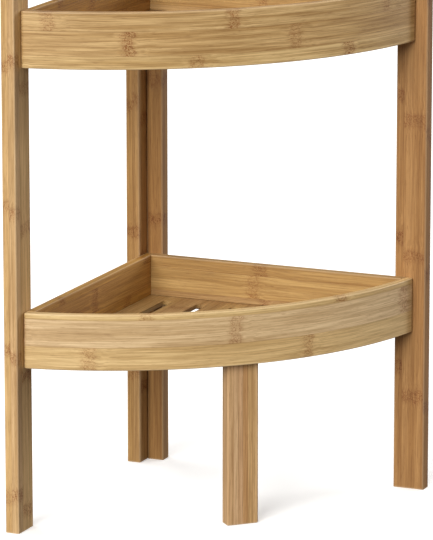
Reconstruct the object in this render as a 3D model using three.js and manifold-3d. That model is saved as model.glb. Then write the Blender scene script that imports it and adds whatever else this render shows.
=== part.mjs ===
// A free-standing corner shower caddy in bamboo: three quarter-round trays between two front posts and an
// L-shaped rear post, with a short leg under the middle of the lowest tray.
// Millimetres, +Z up. The left wall is on the -X side and the back wall on the +Y side.
import * as THREE from "three";
import { mergeVertices } from "three/addons/utils/BufferGeometryUtils.js";
import Module from "manifold-3d";

const wasm = await Module();
wasm.setup();

// ---- driving dimensions ----
const POST_HEIGHT = 760;
const POST_WIDTH = 30;
const POST_THICKNESS = 13.5;
const POST_EDGE_ROUND = 1.5;
const POST_REVEAL = 11.5; // how far each front post stands out past the tray it carries

const TRAY_COUNT = 3;
const TRAY_SIDE = 269.5; // along each wall, from the tray's rear corner to the end of its front rim
const TRAY_BOW = 61.5; // how far the front rim bulges past the straight line between its ends
const TRAY_HEIGHT = 51;
const TOP_REVEAL = 14.5; // how far the posts rise past the top tray
const LOWEST_TRAY = 150.5; // underside of the lowest tray above the floor
const BOARD_THICKNESS = 8; // tray sides
const SIDE_RISE = 3; // underside of the tray sides above the rim's, which is the tray's own underside
const RIM_THICKNESS = 8;
const RIM_END_ROUND = 3;

const FLOOR_THICKNESS = 4;
const FLOOR_RISE = 8.5; // underside of the tray floor above the tray's own underside
const GROOVE_DEPTH = 3; // how deep the tray floor enters the sides and the rim
const SLOT_WIDTH = 10;
const SLOT_PITCH = 34.5;
const FIRST_SLOT = 34; // from the tray's left outer face to the middle of the first drain slot
const SLOT_BACK_MARGIN = 24; // from the tray's back outer face to the slots
const SLOT_RIM_MARGIN = 20; // from the slots to the inside of the rim
const SHORTEST_SLOT = 25;

const SCREW_SHY = 2.5; // how far a screw's point stops short of the inside of the tray
const SCREW_RADIUS = 2;
const SCREW_HEAD_RADIUS = 3.5;
const SCREW_HEAD_DEPTH = 1.8;
const SCREW_POINT = 3;
const SOCKET_RADIUS = 1.5;
const SOCKET_DEPTH = 1.2;
const SCREW_SINK = 0.4; // the heads lie this far under the surface
const SCREW_RISES = [0.4, 0.78]; // heights above the tray's underside, as shares of the tray's height
const LEG_SCREW_SPACING = 16;

const JOINT_GAP = 0.3; // between pieces that touch or fit together

// ---- derived places ----
const POST_REACH = TRAY_SIDE + POST_REVEAL;
// From one tray to the next.
const TRAY_PITCH = (POST_HEIGHT - TOP_REVEAL - TRAY_HEIGHT - LOWEST_TRAY) / (TRAY_COUNT - 1);
const SCREW_LENGTH = POST_THICKNESS + BOARD_THICKNESS - SCREW_SHY - SCREW_SINK;
const HALF_CHORD = TRAY_SIDE / Math.SQRT2;
const RIM_RADIUS = (HALF_CHORD ** 2 + TRAY_BOW ** 2) / (2 * TRAY_BOW);
const RIM_INNER_RADIUS = RIM_RADIUS - RIM_THICKNESS;
// The rim's centre of curvature lies on the diagonal, at (-CENTRE, +CENTRE) from the tray's rear corner.
const CENTRE = (RIM_RADIUS - TRAY_BOW) / Math.SQRT2 - TRAY_SIDE / 2;
const FLOOR_INSET = BOARD_THICKNESS - GROOVE_DEPTH;
// The front of the leg along the diagonal: its flat face just clears the curved inside of the rim.
const LEG_FACE = Math.sqrt(RIM_INNER_RADIUS ** 2 - (POST_WIDTH / 2) ** 2) - CENTRE * Math.SQRT2 - JOINT_GAP;
const LEG_TOP = LOWEST_TRAY + FLOOR_RISE - JOINT_GAP;

const ROUND_SEGMENTS = 3;
const SCREW_SEGMENTS = 12;
const RIM_SEGMENTS = 40;
const SLOT_END_SEGMENTS = 5;

// ---- materials ----
const bamboo = new THREE.MeshStandardMaterial({ color: 0xc9a066, roughness: 0.5, metalness: 0 });
const paleBamboo = new THREE.MeshStandardMaterial({ color: 0xd5b27c, roughness: 0.5, metalness: 0 });
const steel = new THREE.MeshStandardMaterial({ color: 0xb9bab8, roughness: 0.3, metalness: 1 });

// ---- helpers ----
const asSolid = (geometry) => {
  const bare = geometry.clone();
  bare.deleteAttribute("normal");
  bare.deleteAttribute("uv");
  const merged = mergeVertices(bare, 1e-4);
  return new wasm.Manifold(
    new wasm.Mesh({
      numProp: 3,
      vertProperties: merged.attributes.position.array,
      triVerts: new Uint32Array(merged.index.array),
    }),
  );
};

const asGeometry = (solid) => {
  const mesh = solid.getMesh();
  const geometry = new THREE.BufferGeometry();
  geometry.setAttribute("position", new THREE.BufferAttribute(new Float32Array(mesh.vertProperties), 3));
  geometry.setIndex(new THREE.BufferAttribute(new Uint32Array(mesh.triVerts), 1));
  geometry.computeVertexNormals();
  return geometry;
};

// Cuts the tools, which are geometries, out of a geometry.
const cutAway = (geometry, tools) =>
  asGeometry(tools.reduce((solid, tool) => solid.subtract(asSolid(tool)), asSolid(geometry)));

const named = (name, geometry, material) => {
  const mesh = new THREE.Mesh(geometry, material);
  mesh.name = name;
  return mesh;
};

// A plan outline raised from z = bottom by a height.
const raised = (shape, bottom, height, curveSegments = ROUND_SEGMENTS) =>
  new THREE.ExtrudeGeometry(shape, { depth: height, bevelEnabled: false, curveSegments })
    .translate(0, 0, bottom);

// A board's section in plan, from (x0, y0) to (x1, y1), with rounded edges.
const roundedPlan = (x0, y0, x1, y1, radius) => {
  const shape = new THREE.Shape();
  shape.moveTo(x0 + radius, y0);
  shape.absarc(x1 - radius, y0 + radius, radius, -Math.PI / 2, 0);
  shape.absarc(x1 - radius, y1 - radius, radius, 0, Math.PI / 2);
  shape.absarc(x0 + radius, y1 - radius, radius, Math.PI / 2, Math.PI);
  shape.absarc(x0 + radius, y0 + radius, radius, Math.PI, Math.PI * 1.5);
  return shape;
};

const post = (x0, y0, x1, y1) => raised(roundedPlan(x0, y0, x1, y1, POST_EDGE_ROUND), 0, POST_HEIGHT);

// The y of the front arc of a given radius at x, in the tray's own plan.
const arcY = (radius, x) => CENTRE - Math.sqrt(radius ** 2 - (x + CENTRE) ** 2);
// The angle from the rim's centre to the arc's point at that x.
const arcAngle = (radius, x) => Math.atan2(arcY(radius, x) - CENTRE, x + CENTRE);
// Mirrors a plan point in the tray's diagonal, where left and back change places.
const mirrored = ([x, y]) => [-y, -x];

const polygon = (points) => new THREE.Shape(points.map(([x, y]) => new THREE.Vector2(x, y)));

// ---- screws ----
// A countersunk screw along +Z, its head's face at z = 0 and its point below. grow widens it into a
// hole's tool.
const screwGeometry = (grow = 0) => {
  const mouth = grow ? SCREW_SINK + grow : 0;
  const profile = [
    [0, -SCREW_LENGTH - grow],
    [(SCREW_RADIUS + grow) * 0.25, -SCREW_LENGTH - grow],
    [SCREW_RADIUS + grow, -SCREW_LENGTH + SCREW_POINT],
    [SCREW_RADIUS + grow, -SCREW_HEAD_DEPTH - grow],
    [SCREW_HEAD_RADIUS + grow, -grow],
    [SCREW_HEAD_RADIUS + grow, mouth],
    [0, mouth],
  ].filter(([r, z], i, all) => i === 0 || r !== all[i - 1][0] || z !== all[i - 1][1]);
  return new THREE.LatheGeometry(
    profile.map(([r, z]) => new THREE.Vector2(r, z)),
    SCREW_SEGMENTS,
  ).rotateX(Math.PI / 2);
};

const socketTool = new THREE.CylinderGeometry(SOCKET_RADIUS, SOCKET_RADIUS, SOCKET_DEPTH * 2, 6)
  .rotateX(Math.PI / 2);
const screwBody = cutAway(screwGeometry(), [socketTool]);
const screwHole = screwGeometry(JOINT_GAP);

// Places a screw or its hole with the head's face sunk under the surface at "at", facing along "out".
const placed = (geometry, at, out) => {
  const up = new THREE.Vector3(0, 0, 1);
  const turn = new THREE.Quaternion().setFromUnitVectors(up, new THREE.Vector3(...out));
  const inward = new THREE.Vector3(...out).multiplyScalar(-SCREW_SINK);
  return geometry
    .clone()
    .applyQuaternion(turn)
    .translate(at[0] + inward.x, at[1] + inward.y, at[2] + inward.z);
};

const REAR_INSET = (POST_WIDTH - POST_THICKNESS) / 2;
// The front screws pass midway between the post's inner edge and the inside of the rim.
const FRONT_INSET = (POST_REACH - POST_WIDTH - arcY(RIM_INNER_RADIUS, BOARD_THICKNESS)) / 2;
const trayUndersides = Array.from({ length: TRAY_COUNT }, (_, i) => LOWEST_TRAY + i * TRAY_PITCH);

// Every screw through a post: its name, the post it passes, the face it enters and the way that face looks.
const postScrews = trayUndersides.flatMap((bottom, tray) => [
  ...SCREW_RISES.map((rise, i) => ({
    name: `tray_${tray + 1}_left_screw_${i + 1}`,
    post: "left_post",
    at: [-POST_THICKNESS, -FRONT_INSET, bottom + rise * TRAY_HEIGHT],
    out: [-1, 0, 0],
  })),
  ...SCREW_RISES.map((rise, i) => ({
    name: `tray_${tray + 1}_right_screw_${i + 1}`,
    post: "right_post",
    at: [FRONT_INSET, POST_THICKNESS, bottom + rise * TRAY_HEIGHT],
    out: [0, 1, 0],
  })),
  {
    name: `tray_${tray + 1}_rear_left_screw`,
    post: "rear_post_left_board",
    at: [-POST_THICKNESS, -REAR_INSET, bottom + SCREW_RISES[0] * TRAY_HEIGHT],
    out: [-1, 0, 0],
  },
  {
    name: `tray_${tray + 1}_rear_back_screw`,
    post: "rear_post_back_board",
    at: [REAR_INSET, POST_THICKNESS, bottom + SCREW_RISES[1] * TRAY_HEIGHT],
    out: [0, 1, 0],
  },
]);
const holesFor = (wanted) => postScrews.filter(wanted).map((s) => placed(screwHole, s.at, s.out));

// ---- posts ----
const frontEdge = POST_REACH - POST_WIDTH;
const postPlans = {
  left_post: [-POST_THICKNESS, -POST_REACH, 0, -frontEdge],
  right_post: [frontEdge, 0, POST_REACH, POST_THICKNESS],
  rear_post_left_board: [-POST_THICKNESS, POST_THICKNESS - POST_WIDTH, 0, POST_THICKNESS],
  rear_post_back_board: [JOINT_GAP, 0, POST_WIDTH - POST_THICKNESS, POST_THICKNESS],
};
const posts = Object.entries(postPlans).map(([name, plan]) =>
  named(name, cutAway(post(...plan), holesFor((s) => s.post === name)), bamboo),
);

// ---- the short front leg, set on the diagonal behind the rim ----
const DIAGONAL = -Math.PI / 4;
const onDiagonal = (along, across) => [
  along * Math.cos(DIAGONAL) - across * Math.sin(DIAGONAL),
  along * Math.sin(DIAGONAL) + across * Math.cos(DIAGONAL),
];
const legMiddle = LEG_FACE - POST_THICKNESS / 2;
const legScrews = [-1, 1].map((side, i) => ({
  name: `leg_screw_${i + 1}`,
  at: [...onDiagonal(legMiddle, (side * LEG_SCREW_SPACING) / 2), LOWEST_TRAY + FLOOR_RISE + FLOOR_THICKNESS],
  out: [0, 0, 1],
}));
const legHoles = legScrews.map((s) => placed(screwHole, s.at, s.out));
const leg = named(
  "front_leg",
  cutAway(
    raised(
      roundedPlan(LEG_FACE - POST_THICKNESS, -POST_WIDTH / 2, LEG_FACE, POST_WIDTH / 2, POST_EDGE_ROUND),
      0,
      LEG_TOP,
    ).rotateZ(DIAGONAL),
    legHoles,
  ),
  bamboo,
);

// ---- trays ----
// A tray side in plan: mitred at the rear corner, and cut to the inside of the rim at the front.
const sideFrontRadius = RIM_INNER_RADIUS - JOINT_GAP;
const mitreGap = JOINT_GAP / 2;
const leftSidePlan = [
  [JOINT_GAP, -JOINT_GAP - mitreGap],
  [JOINT_GAP, arcY(sideFrontRadius, JOINT_GAP)],
  [BOARD_THICKNESS, arcY(sideFrontRadius, BOARD_THICKNESS)],
  [BOARD_THICKNESS, -BOARD_THICKNESS - mitreGap],
];

// The bent front rim in plan, its ends flush with the tray's sides and rounded outside.
const rimPlan = () => {
  const start = arcAngle(RIM_RADIUS, JOINT_GAP + RIM_END_ROUND);
  const end = -Math.PI / 2 - start;
  const innerStart = arcAngle(RIM_INNER_RADIUS, JOINT_GAP);
  const innerEnd = -Math.PI / 2 - innerStart;
  const shape = new THREE.Shape();
  const at = (radius, angle) => [radius * Math.cos(angle) - CENTRE, radius * Math.sin(angle) + CENTRE];
  const corner = [JOINT_GAP, arcY(RIM_RADIUS, JOINT_GAP)];
  const below = [JOINT_GAP, corner[1] + RIM_END_ROUND];
  const far = mirrored(corner);
  const farBelow = mirrored(below);
  shape.moveTo(...below);
  shape.quadraticCurveTo(...corner, ...at(RIM_RADIUS, start));
  for (let i = 1; i <= RIM_SEGMENTS; i++)
    shape.lineTo(...at(RIM_RADIUS, start + ((end - start) * i) / RIM_SEGMENTS));
  shape.quadraticCurveTo(...far, ...farBelow);
  for (let i = 0; i <= RIM_SEGMENTS; i++)
    shape.lineTo(...at(RIM_INNER_RADIUS, innerEnd + ((innerStart - innerEnd) * i) / RIM_SEGMENTS));
  shape.closePath();
  return shape;
};

// The tray floor in plan, which grow widens into the tool that cuts its groove.
const floorPlan = (grow = 0) => {
  const inset = FLOOR_INSET - grow;
  const radius = RIM_INNER_RADIUS + GROOVE_DEPTH + grow - JOINT_GAP;
  const start = arcAngle(radius, inset);
  const end = -Math.PI / 2 - start;
  const points = [[inset, -inset]];
  for (let i = 0; i <= RIM_SEGMENTS; i++) {
    const angle = start + ((end - start) * i) / RIM_SEGMENTS;
    points.push([radius * Math.cos(angle) - CENTRE, radius * Math.sin(angle) + CENTRE]);
  }
  return polygon(points);
};

// A round-ended slot along Y, as a hole in a plan outline.
const slotPath = (x, back, front) => {
  const half = SLOT_WIDTH / 2;
  const path = new THREE.Path();
  path.absarc(x, back - half, half, 0, Math.PI, false);
  path.absarc(x, front + half, half, Math.PI, 2 * Math.PI, false);
  path.closePath();
  return path;
};

const slottedFloorPlan = () => {
  const shape = floorPlan();
  const reach = RIM_INNER_RADIUS - SLOT_RIM_MARGIN;
  for (let x = FIRST_SLOT; x + SLOT_WIDTH / 2 + CENTRE < reach; x += SLOT_PITCH) {
    const front = arcY(reach, x + SLOT_WIDTH / 2);
    if (-SLOT_BACK_MARGIN - front > SHORTEST_SLOT) shape.holes.push(slotPath(x, -SLOT_BACK_MARGIN, front));
  }
  return shape;
};

const tray = (bottom, index) => {
  const label = `tray_${index + 1}`;
  const floorBottom = bottom + FLOOR_RISE;
  const groove = raised(floorPlan(JOINT_GAP), floorBottom - JOINT_GAP, FLOOR_THICKNESS + 2 * JOINT_GAP);
  const holes = holesFor((s) => s.name.startsWith(label));
  const side = (plan) => raised(polygon(plan), bottom + SIDE_RISE, TRAY_HEIGHT - SIDE_RISE);
  const left = side(leftSidePlan);
  const back = side(leftSidePlan.map(mirrored).reverse());
  const rim = raised(rimPlan(), bottom, TRAY_HEIGHT);
  const floor = raised(slottedFloorPlan(), floorBottom, FLOOR_THICKNESS, SLOT_END_SEGMENTS);
  return [
    named(`${label}_left_side`, cutAway(left, [groove, ...holes]), bamboo),
    named(`${label}_back_side`, cutAway(back, [groove, ...holes]), bamboo),
    named(`${label}_front_rim`, cutAway(rim, [groove]), paleBamboo),
    named(`${label}_floor`, index === 0 ? cutAway(floor, legHoles) : floor, bamboo),
  ];
};

// ---- assembly ----
const caddy = new THREE.Group();
caddy.add(...posts, leg);
trayUndersides.forEach((bottom, index) => caddy.add(...tray(bottom, index)));
for (const screw of [...postScrews, ...legScrews])
  caddy.add(named(screw.name, placed(screwBody, screw.at, screw.out), steel));

// The trays' rear corner is where the pieces above are drawn from; the part's own origin is on the floor,
// in the middle of the square that the caddy takes up.
const middle = (POST_REACH - POST_THICKNESS) / 2;
caddy.children.forEach((piece) => piece.geometry.translate(-middle, middle, 0));

export default caddy;
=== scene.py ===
# %% [markdown]
# # A bamboo corner caddy
# A free-standing corner shelf for a bathroom: three quarter-round trays between flat posts, all cut from
# laminated bamboo board and clear-lacquered. The solids come ready-made in metres, so this lesson is
# about what they still lack: eased edges, a bamboo that is convincing from any side, plain screws, light
# and a camera.

# %% Load the fixed frame
import bpy
import math
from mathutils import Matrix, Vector


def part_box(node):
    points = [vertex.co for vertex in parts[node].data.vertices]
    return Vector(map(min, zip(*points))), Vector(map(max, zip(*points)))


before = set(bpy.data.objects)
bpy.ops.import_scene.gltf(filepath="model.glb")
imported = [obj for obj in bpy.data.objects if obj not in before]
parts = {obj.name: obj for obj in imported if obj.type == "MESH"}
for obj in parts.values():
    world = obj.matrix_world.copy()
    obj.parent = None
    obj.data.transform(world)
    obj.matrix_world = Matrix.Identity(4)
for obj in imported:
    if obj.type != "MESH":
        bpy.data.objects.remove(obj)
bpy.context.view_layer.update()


def rounded(numbers):
    """Metres to a tenth of a millimetre, for printing."""
    return [round(x, 4) for x in numbers]


# %% [markdown]
# ## The camera
# A long lens from four metres away keeps the posts nearly parallel. It looks at the lower two trays from
# the front right and a little above. The camera could be aimed with a tracking constraint, but two
# angles say the same thing and stay readable: the turn round the caddy and the dip below the horizon.

# %% Camera
CAMERA_PLACE = Vector((1.5455, -3.5973, 1.1139))
CAMERA_TURN = 23.307
CAMERA_DIP = 12.799
LENS_MM = 295.9
FARTHEST_SEEN = 60

lens = bpy.data.cameras.new("camera")
lens.lens = LENS_MM
lens.clip_end = FARTHEST_SEEN
camera = bpy.data.objects.new("camera", lens)
camera.location = CAMERA_PLACE
camera.rotation_euler = (math.radians(90 - CAMERA_DIP), 0, math.radians(CAMERA_TURN))
bpy.context.collection.objects.link(camera)
bpy.context.scene.camera = camera
print("camera", round(CAMERA_PLACE.length, 2), "m from the caddy")

# %% [markdown]
# ## The floor
# The caddy stands on plain white. A studio would roll out paper; one large flat face does the same here.
# A faint glow of its own keeps it white where the suns are weak. It is hidden from diffuse and glossy
# rays, so it doesn't light the trays from below, and their undersides stay in shade.

# %% Floor
FLOOR_HALF = 20
FLOOR_GLOW = 0.35

corners = [(x * FLOOR_HALF, y * FLOOR_HALF, 0) for x, y in ((-1, -1), (1, -1), (1, 1), (-1, 1))]
floor_mesh = bpy.data.meshes.new("floor")
floor_mesh.from_pydata(corners, [], [(0, 1, 2, 3)])
floor = bpy.data.objects.new("floor", floor_mesh)
bpy.context.collection.objects.link(floor)
floor.visible_diffuse = False
floor.visible_glossy = False

floor_paint = bpy.data.materials.new("white_floor")
floor_paint.use_nodes = True
floor_shader = floor_paint.node_tree.nodes["Principled BSDF"]
floor_shader.inputs["Base Color"].default_value = (0.9, 0.9, 0.9, 1)
floor_shader.inputs["Roughness"].default_value = 0.9
floor_shader.inputs["Specular IOR Level"].default_value = 0.1
floor_shader.inputs["Emission Color"].default_value = (1, 1, 1, 1)
floor_shader.inputs["Emission Strength"].default_value = FLOOR_GLOW
floor_mesh.materials.append(floor_paint)
print("floor", 2 * FLOOR_HALF, "m wide")

# %% [markdown]
# ## Suns
# One broad, low sun in front shapes the boards: it reaches in under the trays to the faces that look
# towards -Y and leaves those that look towards +X in soft shade. A weaker one, lower still, stands at
# the right rear and catches the edges that look towards +X. A high sun lights the floor and the boards'
# top edges, and two weak ones keep the back readable. Lamps would do as well, but suns light a large
# floor evenly, to its edge.

# %% Suns


def add_sun(name, strength, turn, height, spread, colour=(1, 1, 1)):
    """A sun at that turn, measured like the camera's, and that many degrees above the horizon."""
    data = bpy.data.lights.new(name, "SUN")
    data.energy = strength
    data.angle = math.radians(spread)
    data.color = colour
    lamp = bpy.data.objects.new(name, data)
    lamp.rotation_euler = (math.radians(90 - height), 0, math.radians(turn))
    bpy.context.collection.objects.link(lamp)
    return lamp


suns = [
    add_sun("key_sun", 3.0, turn=-3, height=25, spread=36, colour=(1.0, 0.99, 0.965)),
    add_sun("side_sun", 1.0, turn=132, height=8, spread=20),
    add_sun("high_sun", 0.7, turn=-30, height=78, spread=50),
    add_sun("rear_left_sun", 1.1, turn=250, height=35, spread=50),
    add_sun("rear_right_sun", 0.8, turn=160, height=35, spread=50),
]
print(len(suns), "suns")

# %% [markdown]
# ## Sky
# The sky fills the shade. One plain white sky bright enough for a clean background would wash the shade
# out, so the sky is two: the camera sees a bright white one, and the caddy is lit by a faint, warm one.
# Light Path tells which kind of ray is asking.

# %% Sky
SKY_ON_CADDY = 0.165
SKY_TO_CAMERA = 1.1
WARM_WHITE = (1, 0.93, 0.82, 1)

sky = bpy.data.worlds.new("sky")
sky.use_nodes = True
sky_nodes, sky_links = sky.node_tree.nodes, sky.node_tree.links
for_camera = sky_nodes["Background"]
for_camera.inputs["Color"].default_value = (1, 1, 1, 1)
for_camera.inputs["Strength"].default_value = SKY_TO_CAMERA
for_caddy = sky_nodes.new("ShaderNodeBackground")
for_caddy.inputs["Color"].default_value = WARM_WHITE
for_caddy.inputs["Strength"].default_value = SKY_ON_CADDY
which = sky_nodes.new("ShaderNodeMixShader")
path = sky_nodes.new("ShaderNodeLightPath")
sky_links.new(path.outputs["Is Camera Ray"], which.inputs["Fac"])
sky_links.new(for_caddy.outputs[0], which.inputs[1])
sky_links.new(for_camera.outputs[0], which.inputs[2])
sky_links.new(which.outputs[0], sky_nodes["World Output"].inputs["Surface"])
bpy.context.scene.world = sky
bpy.context.scene.view_settings.view_transform = "Standard"
print("sky strength", SKY_ON_CADDY, "on the caddy and", SKY_TO_CAMERA, "to the camera")

# %% [markdown]
# ## Corners joined first
# The solids arrive with every corner split and with flat normals of their own. No modifier can round an
# edge between two faces that don't share its corners. Joining them by hand would change the solids,
# which stay as they are here, so a small geometry-nodes step joins them on the way and forgets the old
# normals.

# %% A geometry-nodes step that joins split corners
JOIN_DISTANCE = 1e-5
JOIN_STEPS = (
    "NodeGroupInput",
    "GeometryNodeMergeByDistance",
    "GeometryNodeSetMeshNormal",
    "NodeGroupOutput",
)

join_corners = bpy.data.node_groups.new("join_corners", "GeometryNodeTree")
for way in ("INPUT", "OUTPUT"):
    join_corners.interface.new_socket("Geometry", in_out=way, socket_type="NodeSocketGeometry")
steps = [join_corners.nodes.new(kind) for kind in JOIN_STEPS]
steps[1].inputs["Distance"].default_value = JOIN_DISTANCE
for before, after in zip(steps, steps[1:]):
    join_corners.links.new(before.outputs[0], after.inputs[0])
print("join step:", len(steps), "nodes")

# %% [markdown]
# ## Eased edges
# A maker runs sandpaper along every edge before lacquering, so each board has a small round that catches
# light. Four modifiers do it on top of the untouched solid. The first is the join above. Decimate then
# turns coplanar triangles into whole faces, Bevel rounds the true edges, and Weighted Normal keeps the
# flat faces flat beside the rounds.

# %% The modifier stack
COPLANAR_DEGREES = 0.3
EDGE_DEGREES = 40
LARGE_FACES_WIN = 100
BOARD_ROUND = 0.0011
FLOOR_ROUND = 0.0006
SCREW_ROUND = 0.00018


def ease_edges(part, radius, segments=3):
    """Rounds a solid's true edges by that radius in metres, and leaves the solid itself alone."""
    join = part.modifiers.new("join corners", "NODES")
    join.node_group = join_corners
    whole = part.modifiers.new("whole faces", "DECIMATE")
    whole.decimate_type = "DISSOLVE"
    whole.angle_limit = math.radians(COPLANAR_DEGREES)
    bevel = part.modifiers.new("eased edges", "BEVEL")
    bevel.width = radius
    bevel.segments = segments
    bevel.limit_method = "ANGLE"
    bevel.angle_limit = math.radians(EDGE_DEGREES)
    bevel.miter_outer = "MITER_ARC"
    normals = part.modifiers.new("flat faces stay flat", "WEIGHTED_NORMAL")
    normals.weight = LARGE_FACES_WIN


for name, part in sorted(parts.items()):
    if "screw" in name:
        ease_edges(part, SCREW_ROUND, segments=2)
    elif name.endswith("_floor"):
        ease_edges(part, FLOOR_ROUND)
    else:
        ease_edges(part, BOARD_ROUND)
print("eased", len(parts), "solids")

# %% [markdown]
# ## Helpers for wiring shader nodes
# Node trees built by hand are mostly sums and products, so a few helpers keep the cells short. A value
# in them is either a number or another node's output, and feed() takes care of the difference.

# %% Nodes and sums


def feed(tree, socket, value):
    """Puts a number, a tuple or another node's output into a socket."""
    if isinstance(value, bpy.types.NodeSocket):
        tree.links.new(value, socket)
    else:
        socket.default_value = value


def add(tree, kind, settings=None, **inputs):
    """A shader node with its settings and its inputs, whose names have _ for a space."""
    made = tree.nodes.new("ShaderNode" + kind)
    for key, value in (settings or {}).items():
        setattr(made, key, value)
    for key, value in inputs.items():
        feed(tree, made.inputs[key.replace("_", " ")], value)
    return made


def calc(tree, operation, *values):
    """A Math node's result."""
    made = add(tree, "Math", {"operation": operation})
    for socket, value in zip(made.inputs, values):
        feed(tree, socket, value)
    return made.outputs[0]


def total(tree, first, *others):
    """A sum, taken from left to right."""
    for value in others:
        first = calc(tree, "ADD", first, value)
    return first


def product(tree, first, *others):
    """A product, taken from left to right."""
    for value in others:
        first = calc(tree, "MULTIPLY", first, value)
    return first


def remap(tree, value, low, high, to_low=0.0, to_high=1.0):
    """A smooth step from to_low at low to to_high at high."""
    made = add(tree, "MapRange", {"interpolation_type": "SMOOTHSTEP"})
    for socket, number in zip(made.inputs, (value, low, high, to_low, to_high)):
        feed(tree, socket, number)
    return made.outputs[0]


# %% [markdown]
# Vectors and colours have their own nodes. Multiplying darkens a colour as a stain does, so most of the
# bamboo's marks are tints.

# %% Vectors and colours


def vector_calc(tree, operation, *values, output="Vector"):
    """A Vector Math node's result."""
    made = add(tree, "VectorMath", {"operation": operation})
    for socket, value in zip(made.inputs, values):
        feed(tree, socket, value)
    return made.outputs[output]


def split(tree, vector):
    """A vector's X, Y and Z."""
    return add(tree, "SeparateXYZ", Vector=vector).outputs


def join(tree, x, y, z):
    """A vector made of three values."""
    return add(tree, "CombineXYZ", X=x, Y=y, Z=z).outputs[0]


def blend_colour(tree, share, first, second, blend="MIX"):
    """Mixes two colours, or two outputs, by a share from 0 to 1."""
    made = add(tree, "Mix", {"data_type": "RGBA", "blend_type": blend})
    for socket, value in zip((made.inputs[0], made.inputs[6], made.inputs[7]), (share, first, second)):
        feed(tree, socket, value)
    return made.outputs[2]


def tint(tree, share, colour, shade):
    """Multiplies a colour by a shade, by a share from 0 to 1."""
    return blend_colour(tree, share, colour, shade, "MULTIPLY")


# %% [markdown]
# An effect that several materials share becomes a node group. Its sockets are made first, with their
# kinds taken from the starting values, and the group is then placed wherever it is needed with numbers
# of its own.

# %% Groups
SOCKET_FOR_LENGTH = {3: "NodeSocketVector", 4: "NodeSocketColor"}


def new_group(name, inputs, outputs):
    """A shader node group with named inputs, given as name to starting value, and named outputs."""
    tree = bpy.data.node_groups.new(name, "ShaderNodeTree")
    for label, start in inputs.items():
        kind = "NodeSocketFloat" if isinstance(start, float) else SOCKET_FOR_LENGTH[len(start)]
        tree.interface.new_socket(label, in_out="INPUT", socket_type=kind).default_value = start
    for label, kind in outputs.items():
        tree.interface.new_socket(label, in_out="OUTPUT", socket_type="NodeSocket" + kind)
    given = tree.nodes.new("NodeGroupInput").outputs
    result = tree.nodes.new("NodeGroupOutput").inputs
    return tree, given, result


def use_group(tree, group, **inputs):
    """Places a shader group in another tree."""
    made = tree.nodes.new("ShaderNodeGroup")
    made.node_tree = group
    for key, value in inputs.items():
        feed(tree, made.inputs[key.replace("_", " ")], value)
    return made.outputs


def handed_on(given, *labels):
    """A group's own inputs, for the inputs of the same names of a group inside it."""
    return {label.replace(" ", "_"): given[label] for label in labels}


# %% [markdown]
# ## Where a point lies in a straight board
# Every board is cut from a block of glued bamboo strips, so the pattern runs right through it: the same
# strip shows on a face, round the edge and at the end. A flat image wrapped round the board could not do
# that. So the material first asks where a point lies along the grain, across it and into the board's
# depth, in metres. A straight board takes three dot products.

# %% Straight grain group


def place_from(tree, middle):
    """Where the shaded point lies, seen from that middle."""
    return vector_calc(tree, "SUBTRACT", add(tree, "TexCoord").outputs["Object"], middle)


straight_grain, given, result = new_group(
    "straight_grain",
    {
        "Middle": (0.0, 0.0, 0.0),
        "Along": (0.0, 0.0, 1.0),
        "Across": (1.0, 0.0, 0.0),
        "Into": (0.0, 1.0, 0.0),
    },
    {"Grain": "Vector"},
)
place = place_from(straight_grain, given["Middle"])
dots = [
    vector_calc(straight_grain, "DOT_PRODUCT", place, given[label], output="Value")
    for label in ("Along", "Across", "Into")
]
feed(straight_grain, result["Grain"], join(straight_grain, *dots))
print("straight grain group:", len(straight_grain.nodes), "nodes")

# %% [markdown]
# ## Where a point lies in a bent rim
# A rim's laths were bent with it, so the grain follows the curve. Here the distance along is the angle
# round the rim's centre of curvature times its radius, and the depth is how much farther out than that
# radius the point lies. The result has the same three parts as a straight board's, so all that follows
# works for both.

# %% Bent grain group
bent_grain, given, result = new_group(
    "bent_grain", {"Middle": (0.0, 0.0, 0.0), "Radius": 0.3}, {"Grain": "Vector"}
)
place = split(bent_grain, place_from(bent_grain, given["Middle"]))
angle = calc(bent_grain, "ARCTAN2", place["Y"], place["X"])
squares = [product(bent_grain, place[axis], place[axis]) for axis in "XY"]
reach = calc(bent_grain, "SQRT", total(bent_grain, *squares))
along = product(bent_grain, angle, given["Radius"])
depth = calc(bent_grain, "SUBTRACT", reach, given["Radius"])
feed(bent_grain, result["Grain"], join(bent_grain, along, place["Z"], depth))
print("bent grain group:", len(bent_grain.nodes), "nodes")

# %% [markdown]
# ## Strips
# A bamboo cane is split into laths, planed square and glued side by side, then ply on ply. Each lath
# keeps its own tone. Dividing the distance across the board by the lath's width and dropping the
# fraction numbers the laths, and White Noise turns each number into its own three random values. The
# fraction itself shows how near the glue line is.

# %% Strip group
SEAM_WIDTH = 0.0005

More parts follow.
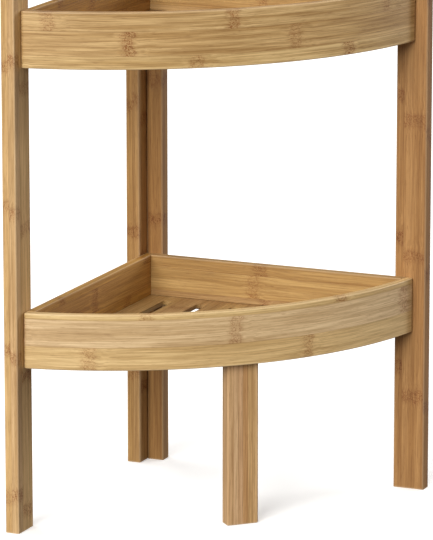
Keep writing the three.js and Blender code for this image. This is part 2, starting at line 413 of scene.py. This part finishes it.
strips, given, result = new_group(
    "bamboo_strips",
    {
        "Grain": (0.0, 0.0, 0.0),
        "Strip Width": 0.022,
        "Ply Thickness": 0.007,
        "Strip Shift": 0.0,
        "Ply Shift": 0.0,
        "Seed": 0.0,
    },
    {"Strip": "Vector", "Tone": "Float", "Hue": "Float", "Offset": "Float", "Seam": "Float"},
)
grain = split(strips, given["Grain"])
lath = total(strips, calc(strips, "DIVIDE", grain["Y"], given["Strip Width"]), given["Strip Shift"])
ply = total(strips, calc(strips, "DIVIDE", grain["Z"], given["Ply Thickness"]), given["Ply Shift"])
number = join(strips, calc(strips, "FLOOR", lath), calc(strips, "FLOOR", ply), given["Seed"])
chance = add(strips, "TexWhiteNoise", {"noise_dimensions": "3D"}, Vector=number)
chances = add(strips, "SeparateColor", Color=chance.outputs["Color"]).outputs
seams = []
for count, width in ((lath, given["Strip Width"]), (ply, given["Ply Thickness"])):
    from_glue = product(strips, calc(strips, "PINGPONG", count, 0.5), width)
    seams.append(remap(strips, from_glue, 0.0, SEAM_WIDTH, 1.0, 0.0))
feed(strips, result["Strip"], number)
feed(strips, result["Tone"], chances["Red"])
feed(strips, result["Hue"], chances["Green"])
feed(strips, result["Offset"], chances["Blue"])
feed(strips, result["Seam"], calc(strips, "MAXIMUM", *seams))
print("strip group:", len(strips.nodes), "nodes")

# %% [markdown]
# ## The nearest knuckle
# A cane has a knuckle every hand's breadth or two. Neighbouring laths are shifted along each other, so
# their knuckles rarely line up across a board. The nearest one is found as for the strips: divide by the
# spacing and look at what is left over. White Noise gives each knuckle a small push and a strength of
# its own, because some are planed away more than others.

# %% Knuckle group: finding the nearest
RANDOM_PUSH = 0.08
WEAKEST_KNUCKLE = 0.6

knuckles, given, result = new_group(
    "bamboo_knuckles",
    {
        "Grain": (0.0, 0.0, 0.0),
        "Strip": (0.0, 0.0, 0.0),
        "Offset": 0.0,
        "Spacing": 0.17,
        "First Knuckle": 0.0,
        "Stagger": 0.37,
    },
    {"Line": "Float", "Patch": "Float", "Curl": "Float", "Flare": "Float"},
)
along = split(knuckles, given["Grain"])["X"]
lath = split(knuckles, given["Strip"])["X"]
from_first = calc(knuckles, "SUBTRACT", along, given["First Knuckle"])
stagger = product(knuckles, lath, given["Stagger"])
turns = total(knuckles, calc(knuckles, "DIVIDE", from_first, given["Spacing"]), stagger)
nearest = calc(knuckles, "ROUND", turns)
chance = add(knuckles, "TexWhiteNoise", {"noise_dimensions": "4D"}, Vector=given["Strip"], W=nearest)
chances = add(knuckles, "SeparateColor", Color=chance.outputs["Color"]).outputs
push = product(knuckles, calc(knuckles, "SUBTRACT", chances["Red"], 0.5), RANDOM_PUSH)
strength = total(knuckles, WEAKEST_KNUCKLE, product(knuckles, chances["Green"], 1 - WEAKEST_KNUCKLE))
left_over = calc(knuckles, "SUBTRACT", calc(knuckles, "SUBTRACT", turns, nearest), push)
away = product(knuckles, left_over, given["Spacing"])
print("a knuckle is pushed by up to", RANDOM_PUSH / 2, "of the spacing")

# %% [markdown]
# ## What a knuckle looks like
# Where a lath is cut from the cane, the knuckle leaves a scalloped line and an orange-brown patch of
# small curls beside it. Noise across the lath scallops the line. The curls could be drawn one by one,
# but the contour lines of a swirled noise make them by the dozen, and no two patches alike.

# %% Knuckle group: drawing it
SCALLOP = (60.0, 200.0, 200.0)
SCALLOP_DEPTH = 0.015
LINE_WIDTH = 0.0010
CURLS = (260.0, 400.0, 400.0)
CURL_WIDTH = 0.065
CURL_SWIRL = 1.1
PATCH_HALF = 0.0066
PATCH_SHIFT = 0.7 * PATCH_HALF
PATCH_FULL = 0.3 * PATCH_HALF
PATCH_END = 1.5 * PATCH_HALF
FLARE_LENGTH = 0.030


def lath_noise(tree, place, stretch, offset, turn, detail, roughness=0.5, swirl=0.0):
    """Noise at that many cycles a metre along, across and into the board.

    The lath's own random offset times turn is a fourth dimension, so the noise differs on every lath.
    """
    return add(
        tree,
        "TexNoise",
        {"noise_dimensions": "4D"},
        Vector=vector_calc(tree, "MULTIPLY", place, stretch),
        W=product(tree, offset, turn),
        Scale=1.0,
        Detail=detail,
        Roughness=roughness,
        Distortion=swirl,
    ).outputs[0]


def knuckle_noise(stretch, turn, detail, swirl=0.0):
    """A knuckle's noise, from -0.5 to 0.5."""
    noise = lath_noise(knuckles, given["Grain"], stretch, given["Offset"], turn, detail, 0.6, swirl)
    return calc(knuckles, "SUBTRACT", noise, 0.5)


away = total(knuckles, away, product(knuckles, knuckle_noise(SCALLOP, 40.0, 2.0), SCALLOP_DEPTH))
from_contour = calc(knuckles, "ABSOLUTE", knuckle_noise(CURLS, 91.0, 1.0, CURL_SWIRL))
curl = remap(knuckles, from_contour, 0.0, CURL_WIDTH, 1.0, 0.0)
from_line = calc(knuckles, "ABSOLUTE", away)
line = product(knuckles, remap(knuckles, from_line, 0.0, LINE_WIDTH, 1.0, 0.0), strength)
from_patch = calc(knuckles, "ABSOLUTE", total(knuckles, away, PATCH_SHIFT))
patch = product(knuckles, remap(knuckles, from_patch, PATCH_FULL, PATCH_END, 1.0, 0.0), strength)
feed(knuckles, result["Line"], line)
feed(knuckles, result["Patch"], patch)
feed(knuckles, result["Curl"], product(knuckles, patch, curl))
feed(knuckles, result["Flare"], remap(knuckles, from_line, 0.0, FLARE_LENGTH, 1.0, 0.0))
print("knuckle group:", len(knuckles.nodes), "nodes")

# %% [markdown]
# ## Fibres
# Between the knuckles bamboo is straight fibre: broad soft streaks, finer ones inside them, and short
# dark dashes where a lath cuts through the sap bundles. All three are one noise, stretched along the
# grain by different amounts. Because the stretch is only along the grain, a board's end shows the same
# bundles as dots. Close to a knuckle the fibres swerve, so the place is pushed there by another noise
# before they are drawn.

# %% Fibre group
SWERVE_DEPTH = 0.0044
SWERVES = (70.0, 110.0, 110.0)
BROAD_STREAKS = (7.0, 230.0, 230.0)
FINE_STREAKS = (24.0, 980.0, 980.0)
DASHES = (120.0, 2400.0, 2400.0)

fibres, given, result = new_group(
    "bamboo_fibres",
    {"Grain": (0.0, 0.0, 0.0), "Flare": 0.0, "Offset": 0.0},
    {"Broad": "Float", "Fine": "Float", "Dash": "Float"},
)
swerves = add(
    fibres,
    "TexNoise",
    {"noise_dimensions": "3D"},
    Vector=vector_calc(fibres, "MULTIPLY", given["Grain"], SWERVES),
    Scale=1.0,
    Detail=1.0,
).outputs["Color"]
to_each_side = vector_calc(fibres, "SUBTRACT", swerves, (0.5, 0.5, 0.5))
depth = product(fibres, given["Flare"], SWERVE_DEPTH)
swerve = vector_calc(fibres, "MULTIPLY", to_each_side, depth)
swerved = vector_calc(fibres, "ADD", given["Grain"], swerve)


def fibre_mask(stretch, turn, detail, low, high):
    """One kind of fibre: 0 where its noise is below low, and 1 where it is above high."""
    noise = lath_noise(fibres, swerved, stretch, given["Offset"], turn, detail, 0.55)
    return remap(fibres, noise, low, high)


feed(fibres, result["Broad"], fibre_mask(BROAD_STREAKS, 23.0, 2.0, low=0.32, high=0.68))
feed(fibres, result["Fine"], fibre_mask(FINE_STREAKS, 57.0, 3.0, low=0.36, high=0.66))
feed(fibres, result["Dash"], fibre_mask(DASHES, 77.0, 1.0, low=0.6, high=0.72))
print("fibre group:", len(fibres.nodes), "nodes")

# %% [markdown]
# ## Bamboo
# The three effects meet in one group that every board uses with its own numbers. Colour starts from the
# lath's tone between a pale and a warm straw, and drifts slowly along the lath. A second random value
# makes some laths more golden and others more rosy, as boards from several canes are.

# %% Bamboo group: laths and their tone
DRIFTS = (9.0, 40.0, 40.0)
LATH_CONTRAST = 0.95
DRIFT_CONTRAST = 0.9
PALEST_TONE = 0.42
GOLDEN = (1.05, 0.995, 0.89, 1.0)
ROSY = (0.98, 0.925, 1.0, 1.0)

bamboo, given, result = new_group(
    "bamboo",
    {
        "Grain": (0.0, 0.0, 0.0),
        "Strip Width": 0.022,
        "Ply Thickness": 0.007,
        "Strip Shift": 0.0,
        "Ply Shift": 0.0,
        "Spacing": 0.17,
        "First Knuckle": 0.0,
        "Stagger": 0.37,
        "Seed": 0.0,
        "Pale": (0.62, 0.44, 0.22, 1.0),
        "Warm": (0.5, 0.31, 0.13, 1.0),
        "Knuckle": (0.42, 0.17, 0.03, 1.0),
        "Contrast": 1.0,
    },
    {"Color": "Color", "Roughness": "Float", "Height": "Float"},
)
lath = use_group(
    bamboo,
    strips,
    **handed_on(given, "Grain", "Strip Width", "Ply Thickness", "Strip Shift", "Ply Shift", "Seed"),
)
drift = lath_noise(bamboo, given["Grain"], DRIFTS, lath["Offset"], turn=13.0, detail=1.0)
tone = product(bamboo, lath["Tone"], LATH_CONTRAST)
tone = total(bamboo, tone, product(bamboo, drift, DRIFT_CONTRAST))
colour = blend_colour(bamboo, calc(bamboo, "SUBTRACT", tone, PALEST_TONE), given["Pale"], given["Warm"])
colour = tint(bamboo, 1.0, colour, blend_colour(bamboo, lath["Hue"], GOLDEN, ROSY))
print("laths in tones from pale to warm")

# %% [markdown]
# ## Bamboo's marks
# Streaks, threads and dashes darken the lath, the knuckles turn it brown, and the glue shows as a thin
# line. Each is a tint with its own shade and depth. The marks could be painted over each other, but
# tints add up, so a dash inside a streak is darker than either.

# %% Bamboo group: streaks, knuckles and glue lines
STREAK_DEPTH, STREAK_SHADE = 0.6, (0.60, 0.50, 0.36, 1.0)
THREAD_DEPTH, THREAD_SHADE = 0.6, (0.58, 0.5, 0.4, 1.0)
DASH_DEPTH, DASH_SHADE = 0.45, (0.5, 0.36, 0.24, 1.0)
SEAM_DEPTH, SEAM_SHADE = 0.4, (0.5, 0.36, 0.22, 1.0)
LINE_DEPTH, CURL_DEPTH, PATCH_DEPTH = 0.6, 0.78, 0.2

knuckle = use_group(
    bamboo,
    knuckles,
    Strip=lath["Strip"],
    Offset=lath["Offset"],
    **handed_on(given, "Grain", "Spacing", "First Knuckle", "Stagger"),
)
fibre = use_group(bamboo, fibres, Grain=given["Grain"], Flare=knuckle["Flare"], Offset=lath["Offset"])
streak = product(bamboo, fibre["Broad"], STREAK_DEPTH, given["Contrast"])
colour = tint(bamboo, streak, colour, STREAK_SHADE)
thread = product(bamboo, fibre["Fine"], THREAD_DEPTH, given["Contrast"])
colour = tint(bamboo, thread, colour, THREAD_SHADE)
colour = tint(bamboo, product(bamboo, fibre["Dash"], DASH_DEPTH), colour, DASH_SHADE)
curls = product(bamboo, knuckle["Curl"], CURL_DEPTH)
curls = total(bamboo, curls, product(bamboo, knuckle["Patch"], PATCH_DEPTH))
mark = calc(bamboo, "MAXIMUM", product(bamboo, knuckle["Line"], LINE_DEPTH), curls)
colour = tint(bamboo, mark, colour, given["Knuckle"])
colour = tint(bamboo, product(bamboo, lath["Seam"], SEAM_DEPTH), colour, SEAM_SHADE)
feed(bamboo, result["Color"], colour)
print("streaks, knuckles and glue lines added")

# %% [markdown]
# ## Bamboo's sheen and relief
# Lacquer sinks into open fibre. The same streaks that darken the surface are therefore a little rougher
# and lie a little lower, and the glue lines lower still, while a knuckle's hard line stands up. The
# group puts out a roughness and a height for this, and the material turns the height into a bump.

# %% Bamboo group: sheen and relief
SMOOTHEST = 0.4
FINE_ROUGHNESS, DASH_ROUGHNESS, KNUCKLE_ROUGHNESS = 0.1, 0.12, 0.1
FINE_HEIGHT, DASH_HEIGHT, SEAM_HEIGHT, LINE_HEIGHT = -0.25, -0.6, -0.8, 0.8

roughness = total(
    bamboo,
    SMOOTHEST,
    product(bamboo, fibre["Fine"], FINE_ROUGHNESS),
    product(bamboo, fibre["Dash"], DASH_ROUGHNESS),
    product(bamboo, mark, KNUCKLE_ROUGHNESS),
)
height = total(
    bamboo,
    product(bamboo, fibre["Fine"], FINE_HEIGHT),
    product(bamboo, fibre["Dash"], DASH_HEIGHT),
    product(bamboo, lath["Seam"], SEAM_HEIGHT),
    product(bamboo, knuckle["Line"], LINE_HEIGHT),
)
feed(bamboo, result["Roughness"], roughness)
feed(bamboo, result["Height"], height)
print("bamboo group:", len(bamboo.nodes), "nodes")

# %% [markdown]
# ## Edges: sanding and a painted highlight
# Sanding leaves an edge a touch paler, and lacquer pulls back from it and dries thin. The paler band is
# also a painted highlight: it stands in for the light that every edge catches. The edge could be found
# with a bevel lookup, but where each board's edges lie is known, so the material compares a point's
# distance from the middle with the board's half sizes. Two of the three have to be at their limit,
# because that is what an edge is.

# %% Edge group
EDGE_BAND = 0.0018

# the edge mask carries both the sanding and the painted highlight
edges, given, result = new_group(
    "sanded_and_highlit_edges", {"Grain": (0.0, 0.0, 0.0), "Half Size": (0.1, 0.01, 0.01)}, {"Edge": "Float"}
)
from_middle = vector_calc(edges, "ABSOLUTE", given["Grain"])
short_of = split(edges, vector_calc(edges, "SUBTRACT", given["Half Size"], from_middle))
near = [remap(edges, short_of[axis], 0.0, EDGE_BAND, 1.0, 0.0) for axis in "XYZ"]
pairs = [product(edges, near[a], near[b]) for a, b in ((0, 1), (0, 2), (1, 2))]
sharpest = calc(edges, "MAXIMUM", calc(edges, "MAXIMUM", pairs[0], pairs[1]), pairs[2])
feed(edges, result["Edge"], sharpest)
print("edge group:", len(edges.nodes), "nodes")

# %% [markdown]
# ## One bamboo for every board
# Each board gets a material of its own around the same groups, so that no two boards show the same
# knuckles. The lacquer is a thin clear coat. Its numbers are the same all over, so they are set on the
# shader itself.

# %% Lacquered bamboo
BUMP_STRENGTH = 0.6
BUMP_HEIGHT = 0.00012
SANDED_AND_HIGHLIT_DEPTH = 0.35
# a pale edge tone: partly sanding, partly a painted highlight along every edge
SANDED_AND_HIGHLIT = (0.82, 0.64, 0.42, 1.0)
LACQUER = {"Specular IOR Level": 0.4, "Coat Weight": 0.15, "Coat Roughness": 0.3}


def lacquered_bamboo(name, grain_group, grain_values, half_size, values):
    """A clear-lacquered bamboo material around a grain direction."""
    material = bpy.data.materials.new(name)
    material.use_nodes = True
    tree = material.node_tree
    shader = tree.nodes["Principled BSDF"]
    grain = use_group(tree, grain_group, **grain_values)["Grain"]
    made = use_group(tree, bamboo, Grain=grain, **values)
    edge = use_group(tree, edges, Grain=grain, Half_Size=half_size)["Edge"]
    # edges made paler: partly sanding, partly a painted highlight
    paler = blend_colour(tree, product(tree, edge, SANDED_AND_HIGHLIT_DEPTH), made["Color"], SANDED_AND_HIGHLIT)
    bump = add(tree, "Bump", Strength=BUMP_STRENGTH, Distance=BUMP_HEIGHT, Height=made["Height"])
    feed(tree, shader.inputs["Base Color"], paler)
    feed(tree, shader.inputs["Roughness"], made["Roughness"])
    feed(tree, shader.inputs["Normal"], bump.outputs[0])
    for label, value in LACQUER.items():
        shader.inputs[label].default_value = value
    return material


def dress(part, material):
    """Gives a solid that one material."""
    part.data.materials.clear()
    part.data.materials.append(material)


def straight_board(name, along, across, into, **values):
    """Gives a straight board its bamboo. The three directions are unit vectors."""
    low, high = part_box(name)
    size = high - low
    half_size = tuple(abs(size.dot(Vector(way))) / 2 for way in (along, across, into))
    grain_values = {"Middle": tuple((low + high) / 2), "Along": along, "Across": across, "Into": into}
    material = lacquered_bamboo(name + "_bamboo", straight_grain, grain_values, half_size, values)
    dress(parts[name], material)


# %% [markdown]
# ## Posts
# The posts have upright grain in laths about two thirds of a post's width, so a wide face shows one or
# two glue lines. The left one is the palest board of the caddy. The two boards of the rear post are
# painted darker, the back one most: that is painted shade, for the shade at the back of the caddy.

# %% Posts
X_WAY, Y_WAY, Z_WAY = (1.0, 0.0, 0.0), (0.0, 1.0, 0.0), (0.0, 0.0, 1.0)
POST_STRIPS = {"Strip_Width": 0.021, "Ply_Thickness": 0.009, "Spacing": 0.13, "Stagger": 0.15}
LIGHT_POST = {"Pale": (0.9, 0.68, 0.33, 1.0), "Warm": (0.78, 0.52, 0.24, 1.0)}
POST_COLOURS = {"Pale": (0.54, 0.315, 0.12, 1.0), "Warm": (0.44, 0.23, 0.078, 1.0)}
# painted shade: the rear post stands at the back, in the shade of the trays
REAR_SHADED_COLOURS = {"Pale": (0.7, 0.46, 0.205, 1.0), "Warm": (0.55, 0.33, 0.12, 1.0)}
# painted shade, deeper still, for the rear post's back board
REAR_BACK_SHADED_COLOURS = {"Pale": (0.5, 0.295, 0.1, 1.0), "Warm": (0.385, 0.2, 0.06, 1.0)}

straight_board("left_post", Z_WAY, Y_WAY, X_WAY, Seed=1.0, Strip_Shift=0.3, First_Knuckle=-0.1,
               **POST_STRIPS, **LIGHT_POST)
straight_board("right_post", Z_WAY, X_WAY, Y_WAY, Seed=2.0, Strip_Shift=0.34, First_Knuckle=-0.0225,
               **POST_STRIPS, **POST_COLOURS)
straight_board("rear_post_left_board", Z_WAY, Y_WAY, X_WAY, Seed=3.0, Strip_Shift=0.6, First_Knuckle=-0.045,
               **POST_STRIPS, **REAR_SHADED_COLOURS)
straight_board("rear_post_back_board", Z_WAY, X_WAY, Y_WAY, Seed=4.0, Strip_Shift=0.6, First_Knuckle=-0.14,
               **POST_STRIPS, **REAR_BACK_SHADED_COLOURS)
print("four post boards, laths", POST_STRIPS["Strip_Width"], "m wide")

# %% [markdown]
# ## The leg
# The short leg is sawn from board whose laths stand on edge, so its face shows narrow upright bands. It
# is set on the diagonal, so its directions are too.

# %% Leg
DIAGONAL = math.sqrt(0.5)
LEG_LATH = 0.0046

straight_board(
    "front_leg",
    Z_WAY,
    (DIAGONAL, DIAGONAL, 0.0),
    (DIAGONAL, -DIAGONAL, 0.0),
    Seed=5.0,
    Strip_Width=LEG_LATH,
    Ply_Thickness=0.05,
    Ply_Shift=0.5,
    Spacing=0.3,
    First_Knuckle=0.13,
    Stagger=0.03,
    Pale=(0.83, 0.59, 0.31, 1.0),
    Warm=(0.71, 0.44, 0.215, 1.0),
)
print("leg in laths", LEG_LATH, "m wide")

# %% [markdown]
# ## Tray sides and floors
# The sides have their grain lengthwise and the floor has it along the drain slots, because a lath across
# them would be cut to pieces. These boards are a single ply: a ply thicker than the board puts its glue
# lines outside. The left sides stand in the shade of the corner, and their darker, warmer colours are
# painted shade for it.

# %% Tray sides and floors
SINGLE_PLY = {"Ply_Thickness": 0.02, "Ply_Shift": 0.5}
PANEL_COLOURS = {"Pale": (0.62, 0.43, 0.185, 1.0), "Warm": (0.5, 0.31, 0.115, 1.0)}
# painted shade: darker and warmer colours for the left sides in the shaded corner
LEFT_SIDE_SHADED_COLOURS = {"Pale": (0.61, 0.37, 0.1, 1.0), "Warm": (0.49, 0.265, 0.055, 1.0)}

trays = sorted(name.removesuffix("_floor") for name in parts if name.endswith("_floor"))
for index, tray in enumerate(trays):
    seed = 10.0 * (index + 1)
    straight_board(tray + "_left_side", Y_WAY, Z_WAY, X_WAY, Seed=seed + 1, Strip_Shift=0.2, Spacing=0.19,
                   **SINGLE_PLY, **LEFT_SIDE_SHADED_COLOURS)
    straight_board(tray + "_back_side", X_WAY, Z_WAY, Y_WAY, Seed=seed + 2, Strip_Shift=0.4, Spacing=0.19,
                   First_Knuckle=-0.008, Stagger=0.03, **SINGLE_PLY, **PANEL_COLOURS)
    straight_board(tray + "_floor", Y_WAY, X_WAY, Z_WAY, Seed=seed + 3, Strip_Shift=0.1, Spacing=0.18,
                   **SINGLE_PLY, **PANEL_COLOURS)
print("sides and floors of", len(trays), "trays")

# %% [markdown]
# ## A rim's curve
# The bent grain needs the rim's centre of curvature. It could be typed in, but the solid knows it: in
# plan, the foremost point of the outer face and one a hand's breadth to the side give a reach and a sag,
# and those two give the radius.

# %% A rim's curve
SIDE_STEP = 0.1
STEP_TOLERANCE = 0.01


def arc_of(part):
    """The centre and radius, in plan, of a rim's outer face."""
    places = [v.co for v in part.data.vertices]
    plan = [((p.x + p.y) * DIAGONAL, (p.x - p.y) * DIAGONAL) for p in places]
    foremost = max(plan, key=lambda c: c[1])
    beside = max((c for c in plan if abs(c[0] - SIDE_STEP) < STEP_TOLERANCE), key=lambda c: c[1])
    reach, sag = beside[0] - foremost[0], foremost[1] - beside[1]
    radius = (reach**2 + sag**2) / (2 * sag)
    inward = foremost[1] - radius
    return Vector((inward * DIAGONAL, -inward * DIAGONAL, 0)), radius


centre, radius = arc_of(parts[trays[0] + "_front_rim"])
print("a rim bends round", rounded(centre), "at", round(radius, 4))

# %% [markdown]
# ## Rims
# Each rim is three thin plies, glued over a form, and the palest wood of the tray because it is the part
# on show. Two or three wide laths make up its height. Where its glue line and knuckles fall is given rim
# by rim, since no two rims are cut from the same canes.

# %% Rims
RIM_THICKNESS = 0.008
RIM_PLIES = {"Ply_Thickness": 0.0031, "Ply_Shift": 0.5}
RIM_COLOURS = {"Pale": (0.88, 0.68, 0.37, 1.0), "Warm": (0.75, 0.54, 0.27, 1.0)}
RIM_LATHS = [
    {"Strip_Width": 0.025, "Strip_Shift": 0.18, "Spacing": 0.195, "First_Knuckle": -0.266,
     "Pale": (0.93, 0.74, 0.41, 1.0), "Warm": (0.82, 0.61, 0.315, 1.0)},
    {"Strip_Width": 0.022, "Strip_Shift": 0.614, "Spacing": 0.163, "First_Knuckle": -0.36,
     "Contrast": 1.3, "Warm": (0.73, 0.51, 0.25, 1.0)},
    {"Strip_Width": 0.0235, "Strip_Shift": 0.35, "Spacing": 0.18, "First_Knuckle": -0.3},
]
BEYOND_THE_ENDS = 1.0  # a half length that no rim reaches, so only the long edges are paler

for index, (tray, laths) in enumerate(zip(trays, RIM_LATHS)):
    rim = parts[tray + "_front_rim"]
    low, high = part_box(rim.name)
    centre, radius = arc_of(rim)
    centre.z = (low.z + high.z) / 2
    half_size = (BEYOND_THE_ENDS, (high.z - low.z) / 2, RIM_THICKNESS / 2)
    grain_values = {"Middle": tuple(centre), "Radius": radius - RIM_THICKNESS / 2}
    values = {"Seed": 100.0 + index, **RIM_PLIES, **RIM_COLOURS, **laths}
    dress(rim, lacquered_bamboo(rim.name + "_bamboo", bent_grain, grain_values, half_size, values))
print(len(trays), "rims in", RIM_PLIES["Ply_Thickness"], "m plies")

# %% [markdown]
# ## Screws
# Countersunk steel, zinc-plated: bright, a little uneven, with fine turning marks. The plating's faint
# blotches change both its colour and its roughness. All the screws come out of one box, so they share
# one material.

# %% Screws
BLOTCHES_PER_METRE = 700.0
TURNING_MARKS = (4000.0, 4000.0, 9000.0)
BRIGHT_ZINC = (0.62, 0.61, 0.57, 1.0)
DULL_ZINC = (0.46, 0.47, 0.48, 1.0)

steel = bpy.data.materials.new("zinc_plated_steel")
steel.use_nodes = True
tree = steel.node_tree
shader = tree.nodes["Principled BSDF"]
where = add(tree, "TexCoord").outputs["Object"]
stretched = vector_calc(tree, "MULTIPLY", where, TURNING_MARKS)
blotch = add(tree, "TexNoise", Vector=where, Scale=BLOTCHES_PER_METRE, Detail=3.0).outputs[0]
scratch = add(tree, "TexNoise", Vector=stretched, Scale=1.0, Detail=2.0).outputs[0]
bump = add(tree, "Bump", Strength=0.3, Distance=0.00003, Height=scratch)
feed(tree, shader.inputs["Base Color"], blend_colour(tree, blotch, BRIGHT_ZINC, DULL_ZINC))
feed(tree, shader.inputs["Roughness"], remap(tree, blotch, 0.3, 0.7, 0.24, 0.42))
feed(tree, shader.inputs["Normal"], bump.outputs[0])
shader.inputs["Metallic"].default_value = 1.0
screws = [part for name, part in parts.items() if "screw" in name]
for screw in screws:
    dress(screw, steel)
print(len(screws), "screws plated")
